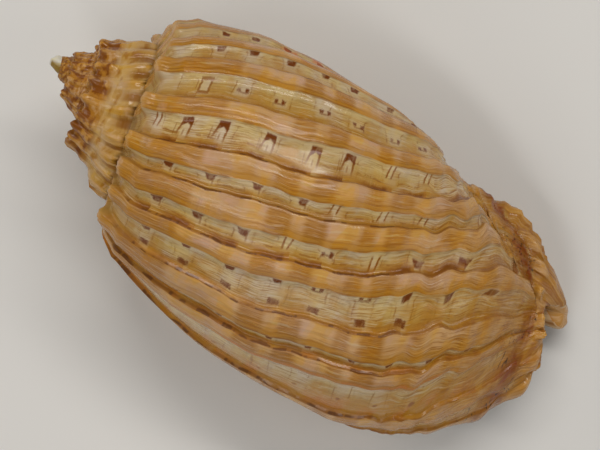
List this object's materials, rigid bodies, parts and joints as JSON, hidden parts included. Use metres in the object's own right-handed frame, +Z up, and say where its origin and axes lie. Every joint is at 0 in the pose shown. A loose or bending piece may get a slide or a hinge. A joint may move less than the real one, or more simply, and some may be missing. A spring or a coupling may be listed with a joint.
{
  "type": "harp shell",
  "caption": "Right-handed ribbed sea snail shell with a low spire, a spined shoulder, a wide open mouth and a short open canal, lying mouth down.",
  "frame": {"origin": "centre of the bounding box in x and y, at the height of the surface the shell lies on", "axes": "+X from the apex towards the canal end, -Y towards the outer lip, +Z up over the ribbed back"},
  "size_m": [0.0554, 0.0304, 0.0224],
  "materials": {
    "shell": "satin grown aragonite with peach and orange-brown bars, cream bands, brown marks and a glossy inside"
  },
  "bodies": {
    "root": {"shell": "shell"}
  },
  "joints": []
}
